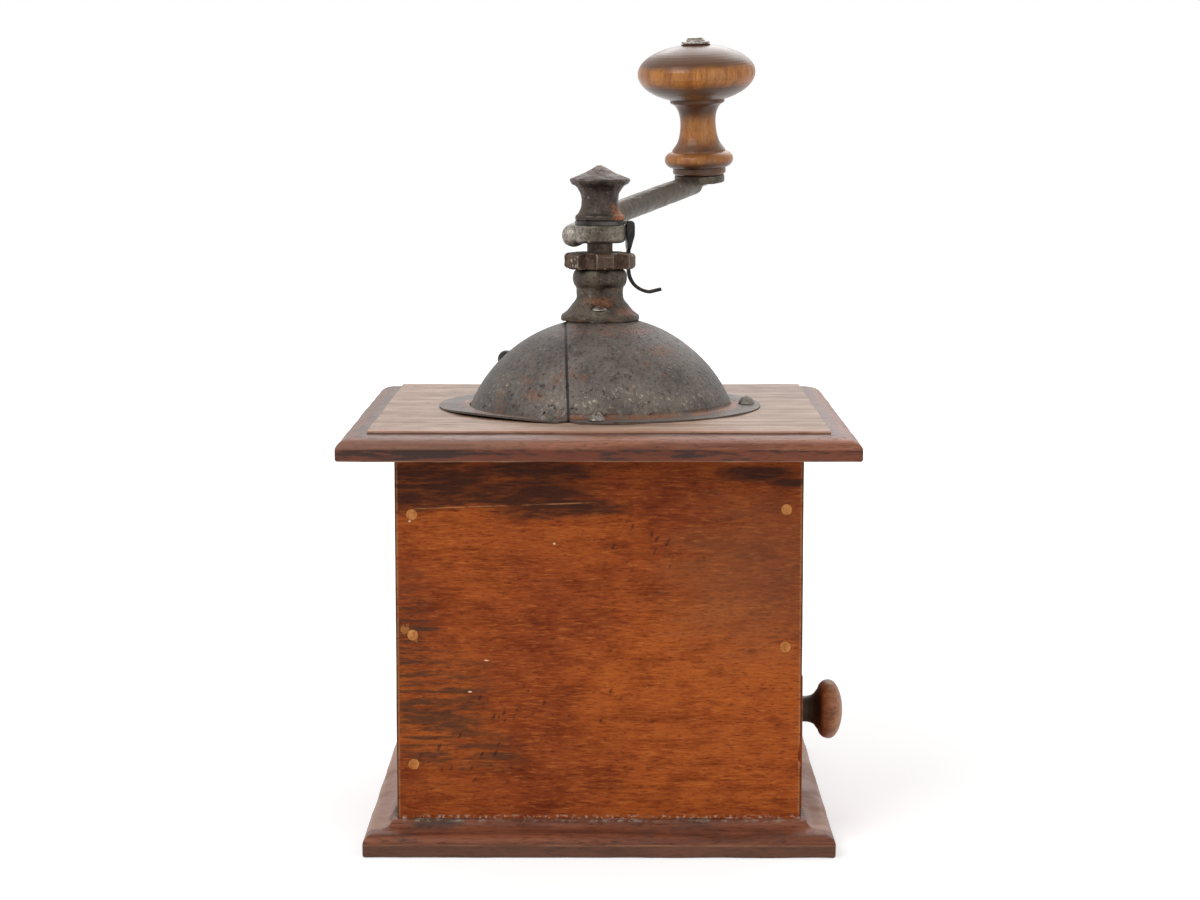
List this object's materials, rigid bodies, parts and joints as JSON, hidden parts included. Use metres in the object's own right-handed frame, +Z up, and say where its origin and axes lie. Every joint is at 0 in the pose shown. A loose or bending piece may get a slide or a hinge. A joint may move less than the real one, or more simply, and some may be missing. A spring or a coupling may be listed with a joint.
{
  "type": "coffee grinder",
  "caption": "Wooden box coffee grinder with a hand crank, a domed hopper with a turning door, conical burrs and a drawer for the ground coffee.",
  "frame": {"origin": "middle of the base board's underside, on the surface that the grinder stands on", "axes": "+Z up along the spindle, +X towards the drawer's knob, -Y towards the near panel"},
  "size_m": [0.1531, 0.188, 0.2439],
  "materials": {
    "case_wood": "old shellac, rubbed and stained",
    "board_wood": "worn bare on top, varnished on the moulding",
    "base_wood": "dark varnish",
    "peg_wood": "bare end grain",
    "drawer_wood": "unfinished",
    "knob_wood": "turned and varnished",
    "handle_wood": "turned, thick amber varnish",
    "sheet_steel": "dark oxidised sheet steel, pitted",
    "cast_iron": "brown with rust",
    "wheel_iron": "rusty with bright rubbed edges",
    "burr_iron": "dark, oiled",
    "spindle_steel": "dull, brown tarnish",
    "washer_steel": "worn bright",
    "screw_steel": "tarnished",
    "spring_steel": "blue-black"
  },
  "bodies": {
    "case": {"base_board": "base_wood", "near_panel": "case_wood", "far_panel": "case_wood", "back_panel": "case_wood", "front_panel": "case_wood", "top_board": "board_wood", "panel_pegs": "peg_wood", "base_screws": "screw_steel", "hopper_dome": "sheet_steel", "hopper_rim": "sheet_steel", "flange_screws": "screw_steel", "neck": "cast_iron", "neck_rivets": "washer_steel", "outer_burr": "burr_iron", "burr_screws": "screw_steel", "lower_bridge": "burr_iron", "bridge_screws": "screw_steel"},
    "drawer": {"drawer_front": "case_wood", "drawer_near_side": "drawer_wood", "drawer_far_side": "drawer_wood", "drawer_back": "drawer_wood", "drawer_bottom": "drawer_wood", "drawer_nails": "screw_steel", "drawer_knob": "knob_wood"},
    "door": {"hopper_door": "sheet_steel", "door_button": "spring_steel"},
    "wheel": {"adjusting_wheel": "wheel_iron"},
    "crank_set": {"spindle": "spindle_steel", "inner_burr": "burr_iron", "burr_nut": "spindle_steel", "crank": "cast_iron", "clip_eye": "spring_steel", "finial_nut": "cast_iron", "handle_axle": "spindle_steel", "handle_washer": "washer_steel"},
    "leaf": {"clip_leaf": "spring_steel"},
    "handle": {"handle_knob": "handle_wood"}
  },
  "joints": [
    {"name": "crank_turn", "type": "hinge", "parent": "case", "child": "wheel", "pos_m": [0, 0, 0.1697], "axis": [0, 0, 1], "continuous": true},
    {"name": "grind_adjust", "type": "slide", "parent": "wheel", "child": "crank_set", "axis": [0, 0, 1], "range_m": [-0.0005, 0.0006]},
    {"name": "leaf_flex", "type": "hinge", "parent": "crank_set", "child": "leaf", "pos_m": [0.00938, 0.00149, 0.18328], "axis": [0.1564, -0.9877, 0], "range_deg": [0, 22], "stiffness_Nm_per_rad": 0.1},
    {"name": "handle_spin", "type": "hinge", "parent": "crank_set", "child": "handle", "pos_m": [0.03416, 0.09478, 0.19676], "axis": [-0.0363, -0.0792, 0.9962], "continuous": true},
    {"name": "drawer_slide", "type": "slide", "parent": "case", "child": "drawer", "axis": [1, 0, 0], "range_m": [0, 0.09]},
    {"name": "door_turn", "type": "hinge", "parent": "case", "child": "door", "pos_m": [0, 0, 0.14], "axis": [0, 0, 1], "range_deg": [0, 74]}
  ]
}
